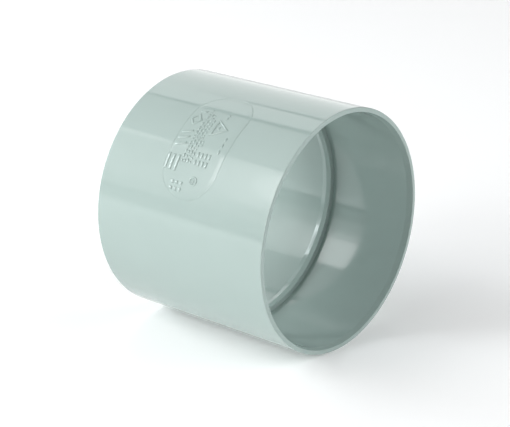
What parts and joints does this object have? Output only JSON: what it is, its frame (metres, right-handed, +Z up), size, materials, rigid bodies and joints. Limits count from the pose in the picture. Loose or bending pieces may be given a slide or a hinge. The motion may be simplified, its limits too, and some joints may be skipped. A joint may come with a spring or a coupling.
{
  "type": "push fit coupling",
  "caption": "Plain plastic sleeve that joins two round downpipes end to end, with a stop ring half-way along its bore that sets how deep each pipe goes in.",
  "frame": {"origin": "on the bore's axis, at the middle of the stop ring, which is the middle of the sleeve's length", "axes": "+X along the bore's axis, out of one mouth; +Z up, with the coupling lying on its side; the marked side of the sleeve faces -Y and up"},
  "size_m": [0.072, 0.0844, 0.0844],
  "materials": {
    "sleeve": "moulded rigid PVC, light grey-green, semi-gloss, with fine moulding marks",
    "stop_ring": "moulded rigid PVC, light grey-green, semi-gloss"
  },
  "bodies": {
    "root": {"sleeve": "sleeve", "stop_ring": "stop_ring"}
  },
  "joints": []
}
